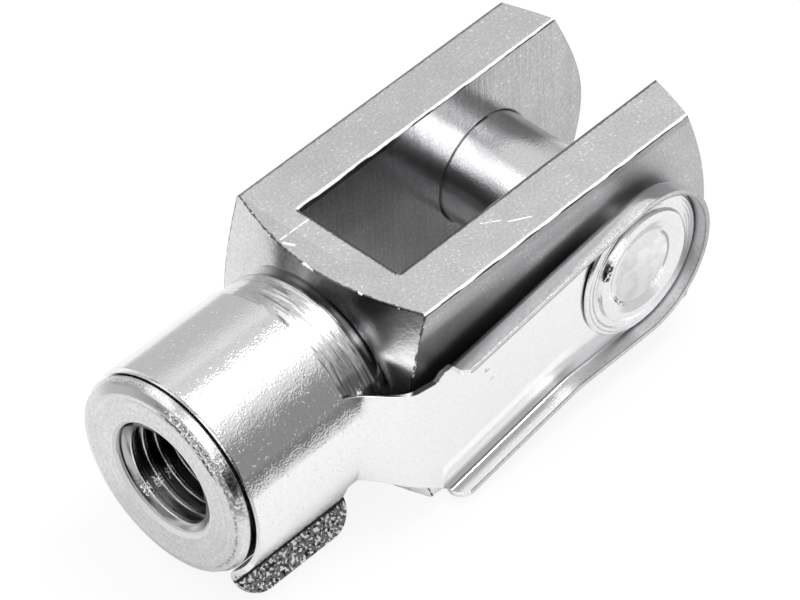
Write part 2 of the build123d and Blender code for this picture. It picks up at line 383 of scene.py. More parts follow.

# plated steel of the fork body: speckled flats, turned rings, edges with wear and painted highlights, and
# painted light and shade in many places; directions are in y and z
forkPlan = {
    "colour": (0.64, 0.64, 0.65),
    "roughness": {"flat": 0.46, "turned": 0.17, "wall": 0.18, "wearAndGlint": 0.5},
    # tones: painted highlights with the wear and on the crests, painted shade on dark edges and on the
    # bore's flanks
    "tone": {"flat": 0.78, "wearAndGlint": 1.5, "paintedShade": 0.2, "wall": 0.9, "mouth": 1.2, "bore": 0.09, "crest": 1.6},
    "wearAndGlintMatt": 0.75,
    "bump": 0.012,
    "soften": 0.12,
    # its own shape; the bare shank lies between the shoulder and the saddle
    "barHalf": forkHigh[2],
    "slotHalf": 5.3,
    "slotRoot": -20.5,
    "shoulder": -22.5,
    "shoulderSlope": 0.518,
    "cornerRadius": 14.142,
    "shankStart": -25.95,
    "bareShank": (-29.4, -26.3),
    "shankEnd": forkLow[0],
    "endDepths": {"face": 0.2, "mouth": 0.5, "rim": 0.9},
    "mouth": {"radius": (4.96, 5.32), "edge": 0.03},
    # how far a face may turn from square and still belong to a region, and how far a region reaches over
    "facing": {"wall": 0.95, "chamfer": 0.5, "along": 0.1, "flat": (0.985, 0.995), "side": 0.9},
    "over": {"bar": 0.1, "shank": 0.05, "top": 0.03, "wall": 0.02, "bore": 0.1},
    # marks of the plating and the tools; patchy gives where the noise rises, and the share before and after
    "grain": {"scale": 4200, "spread": 0.1, "height": 0.5},
    "clouds": {"scale": 420, "spread": 0.03},
    "fine": 5600,
    "wobble": 1800,
    "specks": {"scale": 3600, "from": 0.65, "to": 0.7, "gain": 0.42, "drift": 0.16, "onTurned": 0.15},
    "turning": {"stretch": (2600, 260, 260), "height": 0.7, "shankHeight": 3.4, "shankEdge": 0.4,
                "patchy": (0.35, 0.6, 0.3, 1.0)},
    "faceRings": {"scale": 1.6, "spread": 0.05},
    "mill": {"stretch": (5000, 300, 120), "height": 0.6, "spread": 0.05},
    "endGrain": 0.35,
    # edges: wear with painted highlights, and painted shade
    "edgeLine": {"width": 0.13, "soft": 0.03, "wander": 0.035},
    "slotCorner": {"depth": 0.55, "ragged": 0.12, "ends": (-12.0, -8.5)},
    "rootLine": {"width": 0.36, "wander": 0.05},
    "longArc": {"fromCone": (0.06, 0.16), "fromFlat": (0.04, 0.14), "wander": 0.06, "patches": 700,
                "patchEdge": (0.57, 0.6)},
    # straight marks on the upper face: from and to in x and y, and their widths
    "topDepth": 0.3,
    "topMarkBreaks": (0.36, 0.44),
    "topMarks": (
        ((-23.9, 3.95), (-20.6, 3.92), 0.16),
        ((-24.0, 3.45), (-23.7, 2.8), 0.3),
        ((-10.86, -7.73), (-9.33, -8.63), 0.16),
        ((-12.45, -6.27), (-11.18, -7.2), 0.12),
    ),
    # the slot's wall away from the clip: painted shade towards the slot's root, a slanting patch of painted
    # reflection, in x and z, and a strip of painted shade on top
    "farWallShade": {"place": (-6.0, 4.0), "tone": 0.76},
    "wallPaintedReflection": {"stroke": ((-8.9, 10.6), (-3.9, 4.6), 4.6), "tone": 1.45},
    "wallTopShade": {"heights": (6.0, 9.5), "ends": (-12.0, -8.5), "tone": 0.7},
    # painted light on the upper face towards the shoulder
    "topPaintedLight": {"ends": (-21.5, -16.5), "from": (-3.0, 0.5), "tone": 1.09},
    # thin lines of painted shade where the upper face meets the slot and the far side
    "topShadeLines": (
        {"place": (-5.66, -5.5), "from": (-20.7, -20.5), "tone": 0.3},
        {"place": (9.64, 9.82), "from": (-22.8, -22.6), "tone": 0.45},
    ),
    "topLineEdge": 0.03,
    # painted shade on the bar's side close to the clip, with a patch of painted light and a strip of
    # painted shade under the top edge
    "clipSidePaintedShade": {
        "from": -7.5,
        "back": -25.0,
        "low": {"ends": (-2.0, 6.0), "heights": (5.6, 9.9, 0.35, 0.8)},
        "corner": {"ends": (-19.0, -12.0), "heights": (7.2, 8.2), "tone": 0.5},
        "lift": {"ends": (-9.0, -2.0, 4.0), "heights": (6.0, 7.1, 0.9), "tone": 1.6},
        "strip": (8.9, 9.4, 1.0, 0.8),
    },
    # the shoulder's cone: painted shade under the long arc, at its foot and at its crown, painted light on
    # its lit side; painted shade on the fillet
    "cone": {"ends": (-25.9, 0.0), "patchy": (0.3, 0.5, 0.75, 1.0)},
    "coneLightAndShade": (
        {"towards": (-0.309, 0.951), "sweep": (0.93, 0.975), "radius": (15.0, 16.0), "tone": 0.3},
        {"towards": (-0.82, 0.57), "sweep": (0.955, 0.985), "radius": (9.0, 9.6), "tone": 0.2},
        {"towards": (0.0, 1.0), "sweep": (0.9, 0.97), "radius": (10.8, 11.4), "tone": 0.42},
        {"towards": (-0.8, 0.6), "sweep": (0.94, 0.985), "radius": (13.5, 14.0), "tone": 1.5},
    ),
    "fillet": {"place": (-26.05, -25.2, 0.08), "towards": (-0.3, 0.954), "sweep": (0.6, 0.8),
               "tone": 0.34},
    # turning rings on the bare shank, painted dark and light only on its lit side, and painted shade
    "shankEdge": 0.5,
    "ringLinesAndGlints": {"stretch": (4300, 420, 420), "towards": (-0.45, 0.89), "sweep": (0.6, 0.9),
                  "dark": {"breaks": (0.42, 0.36), "tone": 0.45},
                  "light": {"breaks": (0.57, 0.62), "tone": 1.7}},
    "shankShade": {"towards": (-0.866, 0.5), "sweep": (0.985, 0.995), "tone": 0.55},
    "undersidePaintedLight": {"below": (-8.5, -7.5), "end": -18.0, "tone": 2.2},
    # the threaded hole: painted shade and light on the flanks, painted highlights on the crests and painted
    # sparks near the mouth
    "crest": {"radius": (4.36, 4.42), "towards": (0.64, -0.77), "sweep": (0.2, 0.9)},
    "lowBorePaintedLight": {"towards": (-0.1, -0.99), "sweep": (0.45, 0.95), "tone": 1.0, "haze": 0.4,
                "deep": (-40.4, -37.5, 1.0, 0.25), "patchy": (0.35, 0.6, 0.25, 1.0)},
    "farBorePaintedLight": {"towards": (0.88, -0.47), "sweep": (0.4, 0.9), "tone": 0.6, "deep": (-40.9, -36.0),
                "patchy": (0.38, 0.58, 0.2, 1.0)},
    "sparkle": {"radius": (4.3, 4.8), "towards": (0.6, -0.8), "sweep": (0.991, 0.998),
                "breaks": (0.5, 0.56), "tone": 2.6},
    # broken rings of painted shade round the rim of the shank's end, and burrs with painted glints: radii,
    # direction, sweep, breaks and tone
    "endFlecks": 3400,
    "endWander": 0.07,
    "endRings": (
        ((7.25, 7.75), (-0.5, 0.866), (0.86, 0.95), (0.42, 0.48), 0.08),
        ((8.0, 8.25), (-0.42, 0.91), (0.8, 0.9), (0.42, 0.48), 0.12),
        ((7.9, 8.7), (-0.86, 0.51), (0.9, 0.985), (0.3, 0.55), 0.3),
        ((7.95, 8.08), (-0.97, -0.25), (0.8, 0.9), (0.42, 0.5), 0.45),
        ((7.2, 7.32), (-0.1, 0.995), (0.8, 0.9), (0.3, 0.4), 0.75),
        ((7.75, 8.6), (0.34, 0.94), (0.82, 0.98), (0.1, 0.3), 0.66),
    ),
    "endBurrs": ((7.7, 8.6), (-0.5, 0.86), (0.88, 0.95), (0.53, 0.58)),
}


# each step adds what it finds to "at", which says all that is known of a point
def findForkNoises(recipe, at, plan):
    at.grain = recipe.noise(plan["grain"]["scale"], roughness=0.6)
    at.cloud = recipe.noise(plan["clouds"]["scale"])
    at.fine = recipe.noise(plan["fine"], detail=1.0)
    at.wobble = recipe.noise(plan["wobble"])
    at.brushed = recipe.noise(1.0, detail=1.0, stretch=plan["turning"]["stretch"])
    at.milled = recipe.noise(1.0, stretch=plan["mill"]["stretch"])


def findForkRegions(recipe, at, plan):
    facing, over = plan["facing"], plan["over"]
    at.onBar = recipe.above(at.x, plan["shoulder"] - over["bar"])
    at.onShank = recipe.below(at.x, plan["shankStart"] + over["shank"])
    at.onTop = recipe.above(at.z, plan["barHalf"] - over["top"])
    at.slotWall = recipe.allOf(recipe.below(at.sideY, plan["slotHalf"] + over["wall"]),
                               recipe.above(at.faceY, facing["wall"]), at.onBar)
    at.chamfer = recipe.allOf(recipe.above(at.faceY, facing["chamfer"]),
                              recipe.above(at.faceZ, facing["chamfer"]),
                              recipe.below(at.faceX, facing["along"]), at.onBar)
    squarely = recipe.larger(at.faceY, at.faceZ)
    at.turned = recipe.anyOf(recipe.fade(squarely, *facing["flat"]), at.onShank)


def aroundShank(recipe, at, patch):
    return recipe.heading(at.y, at.z, at.radius, patch["towards"], patch["sweep"])


def paintEdgeLightAndWear(recipe, at, plan):
    half = plan["barHalf"]
    # painted highlights on the edges towards the clip, painted shade in a line beside them and on the edges
    # of the far side
    line = plan["edgeLine"]
    drop = recipe.plus(recipe.minus(half, at.sideZ), recipe.wander(at.cloud, line["wander"]))
    bright = recipe.fade(drop, line["width"], line["width"] + line["soft"])
    farSide = recipe.above(at.towardsY, 0.0)
    paintedShade = recipe.allOf(at.chamfer, recipe.anyOf(farSide, recipe.outside(bright)))
    wearAndGlint = recipe.without(at.chamfer, paintedShade)
    # painted shade along the slot's upper corner and its root
    corner = plan["slotCorner"]
    raggedZ = recipe.timesPlus(at.fine, corner["ragged"], at.z)
    cornerLine = recipe.allOf(at.slotWall, recipe.above(raggedZ, half - corner["depth"]),
                              recipe.fade(at.x, *corner["ends"]))
    root = plan["rootLine"]
    raggedX = recipe.plus(at.x, recipe.wander(at.fine, root["wander"], 0.2))
    onUpper = recipe.above(at.z, half - plan["topDepth"])
    rootLine = recipe.allOf(onUpper, recipe.below(at.sideY, plan["slotHalf"]),
                            recipe.within(raggedX, plan["slotRoot"] - root["width"], plan["slotRoot"]))
    paintedShade = recipe.anyOf(paintedShade, cornerLine, rootLine)
    # the long arc where the shoulder's cone meets the bar's flats: painted glints in patches, painted shade
    # between them
    arc = plan["longArc"]
    cone = recipe.timesPlus(at.radius, plan["shoulderSlope"],
                            plan["shoulder"] - plan["cornerRadius"] * plan["shoulderSlope"])
    ragged = recipe.wander(at.wobble, arc["wander"], 0.2)
    fromCone = recipe.plus(recipe.minus(at.x, cone), ragged)
    fromFlat = recipe.plus(recipe.minus(half, recipe.larger(at.sideY, at.sideZ)), ragged)
    onArc = recipe.allOf(recipe.fade(fromCone, *arc["fromCone"]), recipe.fade(fromFlat, *arc["fromFlat"]))
    patches = recipe.smooth(recipe.noise(arc["patches"], detail=3.0), *arc["patchEdge"])
    wearAndGlint = recipe.anyOf(wearAndGlint, recipe.allOf(onArc, patches))
    paintedShade = recipe.anyOf(paintedShade, recipe.without(onArc, wearAndGlint))
    # scratches on the upper face
    scratches = recipe.anyOf(*[recipe.stroke(at.x, at.y, *mark) for mark in plan["topMarks"]])
    scratches = recipe.allOf(scratches, onUpper, recipe.smooth(at.wobble, *plan["topMarkBreaks"]))
    return recipe.anyOf(wearAndGlint, scratches), paintedShade


def forkHeight(recipe, at, plan):
    turning = plan["turning"]
    bare = recipe.within(at.x, *plan["bareShank"], turning["shankEdge"])
    depth = recipe.mix(bare, turning["height"], turning["shankHeight"])
    depth = recipe.times(depth, recipe.smooth(at.cloud, *turning["patchy"]))
    endFace = recipe.below(at.x, plan["shankEnd"] + plan["endDepths"]["face"])
    depth = recipe.mix(endFace, depth, recipe.times(depth, plan["endGrain"]))
    grain = plan["grain"]["height"]
    height = recipe.times(at.grain, recipe.mix(endFace, grain, grain * plan["endGrain"]))
    height = recipe.plus(height, recipe.times(at.brushed, at.turned, depth))
    return recipe.timesPlus(recipe.times(at.milled, at.slotWall), plan["mill"]["height"], height)


def forkGrainTone(recipe, at, plan):
    tones, specks, rings = plan["tone"], plan["specks"], plan["faceRings"]
    tone = recipe.vary(at.grain, plan["grain"]["spread"], 0.2)
    tone = recipe.times(tone, recipe.vary(at.cloud, plan["clouds"]["spread"], 0.2))
    speck = recipe.noise(specks["scale"], detail=1.0, shift=(3, 5, 2))
    speck = recipe.timesPlus(recipe.minus(at.cloud, 0.5), specks["drift"], speck)
    speck = recipe.smooth(speck, specks["from"], specks["to"])
    speck = recipe.times(speck, recipe.mix(at.turned, 1.0, specks["onTurned"]))
    tone = recipe.timesPlus(speck, specks["gain"], tone)
    share = recipe.mix(at.slotWall, recipe.mix(at.turned, tones["flat"], 1.0), tones["wall"])
    milled = recipe.mix(at.slotWall, 1.0, recipe.vary(at.milled, plan["mill"]["spread"]))
    ring = recipe.vary(recipe.lines(at.radius, rings["scale"]), rings["spread"])
    return recipe.times(tone, share, milled, recipe.mix(at.onShank, 1.0, ring))


def shadeFlats(recipe, at, plan, tone):
    wall, patch, strip, glow = plan["farWallShade"], plan["wallPaintedReflection"], plan["wallTopShade"], plan["topPaintedLight"]
    # painted shade on the slot's walls towards the root, then on the far wall a patch of painted reflection
    # and a strip of painted shade on top
    tone = recipe.shade(tone, at.slotWall, recipe.smooth(at.x, *wall["place"], 1.0, wall["tone"]))
    onFar = recipe.allOf(at.slotWall, recipe.above(at.y, 0.0))
    here = recipe.allOf(onFar, recipe.stroke(at.x, at.z, *patch["stroke"]))
    tone = recipe.shade(tone, here, patch["tone"])
    here = recipe.allOf(onFar, recipe.smooth(at.z, *strip["heights"]), recipe.fade(at.x, *strip["ends"]))
    tone = recipe.shade(tone, here, strip["tone"])
    onUpper = recipe.allOf(at.onTop, at.onBar)
    # painted light on the upper face near the shoulder
    here = recipe.allOf(onUpper, recipe.fade(at.x, *glow["ends"]), recipe.smooth(at.y, *glow["from"]))
    tone = recipe.shade(tone, here, glow["tone"])
    edge = plan["topLineEdge"]
    raggedY = recipe.plus(at.y, recipe.wander(at.wobble, edge))
    # thin lines of painted shade along the upper face's edges
    for line in plan["topShadeLines"]:
        here = recipe.allOf(onUpper, recipe.within(raggedY, *line["place"], edge),
                            recipe.smooth(at.x, *line["from"]))
        tone = recipe.shade(tone, here, line["tone"])
    return tone


def paintClipSideShade(recipe, at, plan, tone):
    clipSidePaintedShade = plan["clipSidePaintedShade"]
    low, corner, lift = clipSidePaintedShade["low"], clipSidePaintedShade["corner"], clipSidePaintedShade["lift"]
    # painted shade near the clip, a patch of painted light, and a strip of painted shade under the top edge
    side = recipe.allOf(recipe.below(at.y, clipSidePaintedShade["from"]), recipe.above(at.x, clipSidePaintedShade["back"]),
                        recipe.above(at.faceY, plan["facing"]["side"]))
    here = recipe.allOf(side, recipe.fade(at.x, *low["ends"]))
    tone = recipe.shade(tone, here, recipe.smooth(at.z, *low["heights"]))
    here = recipe.allOf(side, recipe.fade(at.x, *corner["ends"]), recipe.fade(at.z, *corner["heights"]))
    tone = recipe.shade(tone, here, corner["tone"])
    here = recipe.allOf(side, recipe.within(at.x, *lift["ends"]), recipe.within(at.z, *lift["heights"]))
    tone = recipe.shade(tone, here, lift["tone"])
    return recipe.shade(tone, side, recipe.smooth(at.z, *clipSidePaintedShade["strip"]))


def shadeCone(recipe, at, plan, tone):
    foot, crown = plan["cone"]["ends"]
    onCone = recipe.allOf(at.turned, recipe.above(at.x, foot), recipe.below(at.x, crown),
                          recipe.smooth(at.cloud, *plan["cone"]["patchy"]))
    # painted shade and painted light on the cone
    for patch in plan["coneLightAndShade"]:
        here = recipe.allOf(aroundShank(recipe, at, patch), onCone,
                            recipe.fade(at.radius, *patch["radius"]))
        tone = recipe.shade(tone, here, patch["tone"])
    # painted shade on the fillet
    fillet = plan["fillet"]
    here = recipe.allOf(recipe.within(at.x, *fillet["place"]), at.turned, aroundShank(recipe, at, fillet))
    return recipe.shade(tone, here, fillet["tone"])


def shadeShank(recipe, at, plan, tone):
    bare = recipe.within(at.x, *plan["bareShank"], plan["shankEdge"])
    rings = plan["ringLinesAndGlints"]
    streaks = recipe.noise(1.0, detail=1.0, stretch=rings["stretch"], shift=(0, 3, 7))
    ringed = recipe.allOf(bare, aroundShank(recipe, at, rings))
    # turning rings painted dark and light only on the lit side
    for line in (rings["dark"], rings["light"]):
        here = recipe.allOf(ringed, recipe.smooth(streaks, *line["breaks"]))
        tone = recipe.shade(tone, here, line["tone"])
    # painted shade on the bare shank
    shade = plan["shankShade"]
    return recipe.shade(tone, recipe.allOf(bare, aroundShank(recipe, at, shade)), shade["tone"])


def shadeBore(recipe, at, plan, tone):
    # painted shade on the flanks, painted light on the low side and on the far side near the mouth, painted
    # highlights on the crests, painted sparks on the far ridges, and a lighter, matt mouth
    tones, mouth, low, far = plan["tone"], plan["mouth"], plan["lowBorePaintedLight"], plan["farBorePaintedLight"]
    crest, sparkle = plan["crest"], plan["sparkle"]
    inBore = recipe.allOf(recipe.below(at.radius, mouth["radius"][0] + plan["over"]["bore"]), at.onShank)
    lowSide = recipe.allOf(aroundShank(recipe, at, low), inBore, recipe.smooth(at.x, *low["deep"]),
                           recipe.smooth(at.brushed, *low["patchy"]))
    nearMouth = recipe.fade(at.x, *far["deep"])
    farSide = recipe.allOf(aroundShank(recipe, at, far), nearMouth,
                           recipe.smooth(at.brushed, *far["patchy"]))
    flank = recipe.timesPlus(farSide, far["tone"], tones["bore"])
    tone = recipe.mix(inBore, tone, recipe.mix(lowSide, flank, low["tone"]))
    onCrest = recipe.allOf(inBore, recipe.fade(at.radius, *crest["radius"]))
    gleam = aroundShank(recipe, at, crest)
    tone = recipe.mix(onCrest, tone, recipe.mix(gleam, tones["bore"], tones["crest"]))
    glint = recipe.allOf(inBore, recipe.within(at.radius, *sparkle["radius"]), nearMouth,
                         recipe.smooth(at.fine, *sparkle["breaks"]), aroundShank(recipe, at, sparkle))
    tone = recipe.mix(glint, tone, sparkle["tone"])
    onMouth = recipe.allOf(recipe.within(at.radius, *mouth["radius"], mouth["edge"]),
                           recipe.below(at.x, plan["shankEnd"] + plan["endDepths"]["mouth"]))
    tone = recipe.mix(onMouth, tone, tones["mouth"])
    hazy = recipe.anyOf(glint, onMouth, recipe.times(lowSide, low["haze"]))
    return tone, hazy


def brokenRing(recipe, around, radii, towards, sweep, breaks, edge=0.06):
    # part of a ring round an axis, with gaps where the noise is low
    first, second, away, uneven, noise = around
    return recipe.allOf(recipe.heading(first, second, away, towards, sweep),
                        recipe.within(uneven, *radii, edge), recipe.smooth(noise, *breaks))


def shadeEndRimAndBurrs(recipe, at, plan, tone):
    onEnd = recipe.below(at.x, plan["shankEnd"] + plan["endDepths"]["rim"])
    flecks = recipe.noise(plan["endFlecks"], shift=(2, 8, 4))
    uneven = recipe.plus(at.radius, recipe.wander(at.fine, plan["endWander"]))
    around = (at.y, at.z, at.radius, uneven, flecks)
    # broken rings of painted shade on the rim
    for *ring, shade in plan["endRings"]:
        here = recipe.allOf(onEnd, brokenRing(recipe, around, *ring))
        tone = recipe.mix(here, tone, shade)
    return tone, recipe.allOf(onEnd, brokenRing(recipe, around, *plan["endBurrs"]))


def makeForkSteel(plan):
    material, recipe = newMaterial("forkSteel")
    at = measure(recipe)
    findForkNoises(recipe, at, plan)
    findForkRegions(recipe, at, plan)
    wearAndGlint, paintedShade = paintEdgeLightAndWear(recipe, at, plan)
    tone = forkGrainTone(recipe, at, plan)
    for shading in (shadeFlats, paintClipSideShade, shadeCone, shadeShank):
        tone = shading(recipe, at, plan, tone)
    # painted light of the pale floor along the underside, towards the clip
    below = plan["undersidePaintedLight"]
    under = recipe.allOf(recipe.fade(at.z, *below["below"]), recipe.below(at.y, 0.0),
                         recipe.within(at.x, plan["shankStart"], below["end"]))
    tone = recipe.mix(under, tone, below["tone"])
    tone, hazy = shadeBore(recipe, at, plan, tone)
    tone, burrs = shadeEndRimAndBurrs(recipe, at, plan, tone)
    wearAndGlint = recipe.anyOf(wearAndGlint, burrs)
    # edges: wear with painted highlights, then painted shade
    tone = recipe.mix(wearAndGlint, tone, plan["tone"]["wearAndGlint"])
    tone = recipe.mix(paintedShade, tone, plan["tone"]["paintedShade"])
    # polish
    shine = plan["roughness"]
    polish = recipe.mix(at.slotWall, shine["flat"], shine["wall"])
    polish = recipe.mix(at.turned, polish, shine["turned"])
    matt = recipe.anyOf(wearAndGlint, under, hazy)
    polish = recipe.mix(matt, polish, shine["wearAndGlint"])
    metallic = recipe.outside(recipe.times(matt, plan["wearAndGlintMatt"]))
    finishSteel(recipe, plan, tone, polish, forkHeight(recipe, at, plan), metallic)
    return material


# bright sheet of the clip: smooth arm, grainy saddle and a hammered lip
clipPlan = {
    "colour": (0.84, 0.84, 0.85),
    "roughness": {"sheet": 0.14, "eyeWall": 0.45},
    # painted shade on the rim, crease, walls, band and waist; painted light on the streak and border
    "tone": {"rim": 0.68, "crease": 0.35, "wall": 0.8, "band": 0.44, "streak": 1.13, "border": 1.32,
             "waist": 0.7},
    "bump": 0.012,
    "soften": 0.08,
    # its own shape: the eye's radius inside its border, and the way out of the arm's two long borders
    "eye": 7.08,
    "topEdge": (-0.1342, 0.991),
    "lowEdge": (0.1676, -0.9858),
    "waist": (-8.4, -7.08),
    "rim": -12.5,
    "face": -11.2,
    "faceDepth": {"on": 0.1, "proud": 0.05},
    "facing": {"flat": 0.9, "wall": 0.7},
    "armStart": -22.5,
    "saddleStart": (-30.0, -28.0),
    "lipCorner": (-28.0, -6.2, -6.9),
    "borderWall": (0.3, 0.56),
    "crease": (0.4, 0.6),
    "straightEnd": (-9.5, -6.5),
    # marks of the sheet
    "grain": {"scale": 5600, "arm": 0.25, "saddle": 2.0, "spread": 0.03, "reach": (0.3, 0.72)},
    "smoothBack": (1.0, 5.0, 1.0, 0.15),
    "clouds": {"scale": 600, "spread": 0.4},
    "pimples": {"scale": 3900, "from": 0.7, "to": 0.75, "height": 2.8},
    # painted shade that trims the saddle's highlight
    "saddleShades": (((-0.17, 0.985), (0.99, 0.998), 0.86), ((-0.9, 0.436), (0.993, 0.999), 0.74)),
    # the lip, the painted shadow line at its root and the painted highlight line on the saddle before it
    "lip": {"scale": 3600, "height": 3.0, "dark": 0.52, "black": 0.06, "light": 1.1,
            "blackFlecks": (0.56, 0.62), "lightFlecks": (0.54, 0.58), "matt": 0.85},
    "lipRootShadow": {"start": -28.7, "height": -6.6, "radii": (9.9, 10.12, 0.04)},
    "horizonHighlight": {"side": -7.0, "heights": (-5.5, -4.3, 0.04), "tone": 1.4},
    # painted shade and light that follow the arm's lower border: how far inside it they lie
    "band": (1.3, 2.1),
    "streak": ((2.3, 2.9), (3.3, 3.9)),
    "lowWall": -5.0,
    "waistWall": (-8.5, -2.0, 1.5),
    "eyeStart": (-1.0, 1.0),
    "eyeWallStart": (-13.0, -7.0),
    "eyeMottle": {"scale": 3800, "spread": 0.12, "from": -12.0},
    # painted shade round the end of the eye
    "rimShade": {"towards": (0.97, 0.2), "sweep": (0.3, 0.9), "tone": 0.72},
    # marks on the arm's face and the eye's rim: centre in x and z, size and tone
    "marks": (
        (-17.28, 1.03, 0.3, 0.6),
        (-16.76, -0.25, 0.25, 0.65),
        (-18.79, 3.14, 0.3, 0.6),
        (-1.06, -7.28, 0.3, 0.4),
        (0.36, -9.25, 0.3, 0.4),
        (6.3, -3.9, 0.55, 1.5),
        (5.7, -4.8, 0.45, 1.5),
        (5.0, -5.5, 0.4, 1.5),
    ),
    "markEdge": (0.4, 0.7),
    "markWander": 0.15,
}


def findBorder(recipe, at, plan):
    # how far inside the pressed border of the arm and eye a point lies
    def dot(edge):
        return recipe.timesPlus(at.x, edge[0], recipe.times(at.z, edge[1]))

    top = recipe.minus(plan["eye"], dot(plan["topEdge"]))
    waist, low = plan["waist"], plan["lowEdge"]
    sloped = recipe.minus(waist[0] * low[0] + waist[1] * low[1], dot(low))
    at.aboveLow = recipe.larger(sloped, recipe.plus(at.z, plan["eye"]))
    inArm = recipe.math("MINIMUM", top, at.aboveLow)
    inEye = recipe.minus(plan["eye"], at.fromPin)
    at.border = recipe.mix(recipe.above(at.x, 0.0), inArm, inEye)


def findClipRegions(recipe, at, plan):
    face, depth, facing = plan["face"], plan["faceDepth"], plan["facing"]
    at.onSaddle = recipe.fade(at.x, *plan["saddleStart"])
    at.grainy = recipe.allOf(at.onSaddle, recipe.smooth(at.y, *plan["smoothBack"]))
    at.onLip = recipe.allOf(*[recipe.below(axis, corner)
                              for axis, corner in zip((at.x, at.y, at.z), plan["lipCorner"])])
    at.onArm = recipe.above(at.x, plan["armStart"])
    at.onFace = recipe.allOf(at.onArm, recipe.above(at.faceY, facing["flat"]),
                             recipe.within(at.y, face - depth["on"], face + depth["on"]))
    at.onRim = recipe.allOf(at.onArm, recipe.below(at.y, plan["rim"]))
    at.raised = recipe.allOf(at.onArm, recipe.below(at.y, face - depth["proud"]),
                             recipe.below(at.faceY, facing["wall"]))
    at.inWall = recipe.allOf(at.raised, recipe.within(at.border, *plan["borderWall"]))
    at.onStraight = recipe.fade(at.x, *plan["straightEnd"])


def shadeLip(recipe, at, plan, tone):
    lip, root, horizonHighlight = plan["lip"], plan["lipRootShadow"], plan["horizonHighlight"]
    black = recipe.smooth(recipe.noise(lip["scale"], detail=1.0, shift=(1, 2, 3)), *lip["blackFlecks"])
    flecks = recipe.smooth(at.hammered, *lip["lightFlecks"])
    mottle = recipe.mix(black, recipe.mix(flecks, lip["dark"], lip["light"]), lip["black"])
    tone = recipe.mix(at.onLip, tone, mottle)
    # a painted shadow line at the lip's root
    alongLip = recipe.below(at.x, root["start"])
    here = recipe.allOf(alongLip, recipe.below(at.z, root["height"]),
                        recipe.within(at.radius, *root["radii"]))
    tone = recipe.mix(here, tone, lip["black"])
    # a painted highlight line on the saddle before it
    here = recipe.allOf(alongLip, recipe.below(at.y, horizonHighlight["side"]),
                        recipe.within(at.z, *horizonHighlight["heights"]))
    tone = recipe.mix(here, tone, horizonHighlight["tone"])
    return tone, recipe.allOf(flecks, at.onLip, recipe.outside(black))


def shadeArm(recipe, at, plan, tone):
    tones, rimShade = plan["tone"], plan["rimShade"]
    # the face along the arm's lower border: a band of painted shade and a streak of painted highlight
    band = recipe.allOf(at.onFace, recipe.fade(at.aboveLow, *plan["band"]), at.onStraight)
    tone = recipe.mix(band, tone, tones["band"])
    start, end = plan["streak"]
    streak = recipe.allOf(at.onFace, recipe.smooth(at.aboveLow, *start), recipe.fade(at.aboveLow, *end),
                          at.onStraight)
    tone = recipe.mix(streak, tone, tones["streak"])
    # the border's inner walls: painted shade on the eye's wall, painted light on the low wall, painted
    # shade at the waist
    tone = recipe.mix(recipe.allOf(at.inWall, recipe.smooth(at.x, *plan["eyeStart"])), tone, tones["wall"])
    lowWall = recipe.allOf(at.inWall, recipe.below(at.z, plan["lowWall"]))
    tone = recipe.mix(recipe.allOf(lowWall, at.onStraight), tone, tones["border"])
    tone = recipe.mix(recipe.allOf(lowWall, recipe.within(at.x, *plan["waistWall"])), tone, tones["waist"])
    # the rim in painted shade, darker round the end of the eye, and painted shade in the crease inside it
    eyeEnd = recipe.heading(at.x, at.z, at.fromPin, rimShade["towards"], rimShade["sweep"])
    eyeEnd = recipe.allOf(eyeEnd, recipe.above(at.x, 0.0))
    tone = recipe.mix(at.onRim, tone, recipe.shade(tones["rim"], eyeEnd, rimShade["tone"]))
    crease = recipe.allOf(at.onRim, recipe.within(at.border, *plan["crease"]))
    return recipe.mix(crease, tone, tones["crease"])


def markArm(recipe, at, plan, tone):
    ragged = recipe.wander(at.grain, plan["markWander"], 0.2)
    outer = recipe.allOf(at.onArm, recipe.below(at.y, plan["face"] + plan["faceDepth"]["on"]))
    solid, gone = plan["markEdge"]
    for markX, markZ, size, shade in plan["marks"]:
        gap = recipe.distance(recipe.minus(at.x, markX), recipe.minus(at.z, markZ))
        mark = recipe.fade(recipe.plus(gap, ragged), size * solid, size * gone)
        tone = recipe.mix(recipe.allOf(mark, outer), tone, shade)
    mottle = plan["eyeMottle"]
    clouds = recipe.vary(recipe.noise(mottle["scale"], detail=3.0, roughness=0.65), mottle["spread"])
    around = recipe.allOf(at.onArm, recipe.below(at.y, mottle["from"]))
    return recipe.shade(tone, around, clouds)


def clipHeight(recipe, at, plan):
    grain, pimples = plan["grain"], plan["pimples"]
    depth = recipe.mix(at.grainy, grain["arm"], grain["saddle"])
    clouds = recipe.noise(plan["clouds"]["scale"])
    depth = recipe.times(depth, recipe.vary(clouds, plan["clouds"]["spread"]))
    height = recipe.times(at.grain, depth)
    pimple = recipe.noise(pimples["scale"], detail=1.0, shift=(4, 1, 6))
    pimple = recipe.allOf(recipe.smooth(pimple, pimples["from"], pimples["to"]), at.grainy)
    height = recipe.timesPlus(pimple, pimples["height"], height)
    return recipe.timesPlus(recipe.times(at.hammered, at.onLip), plan["lip"]["height"], height)


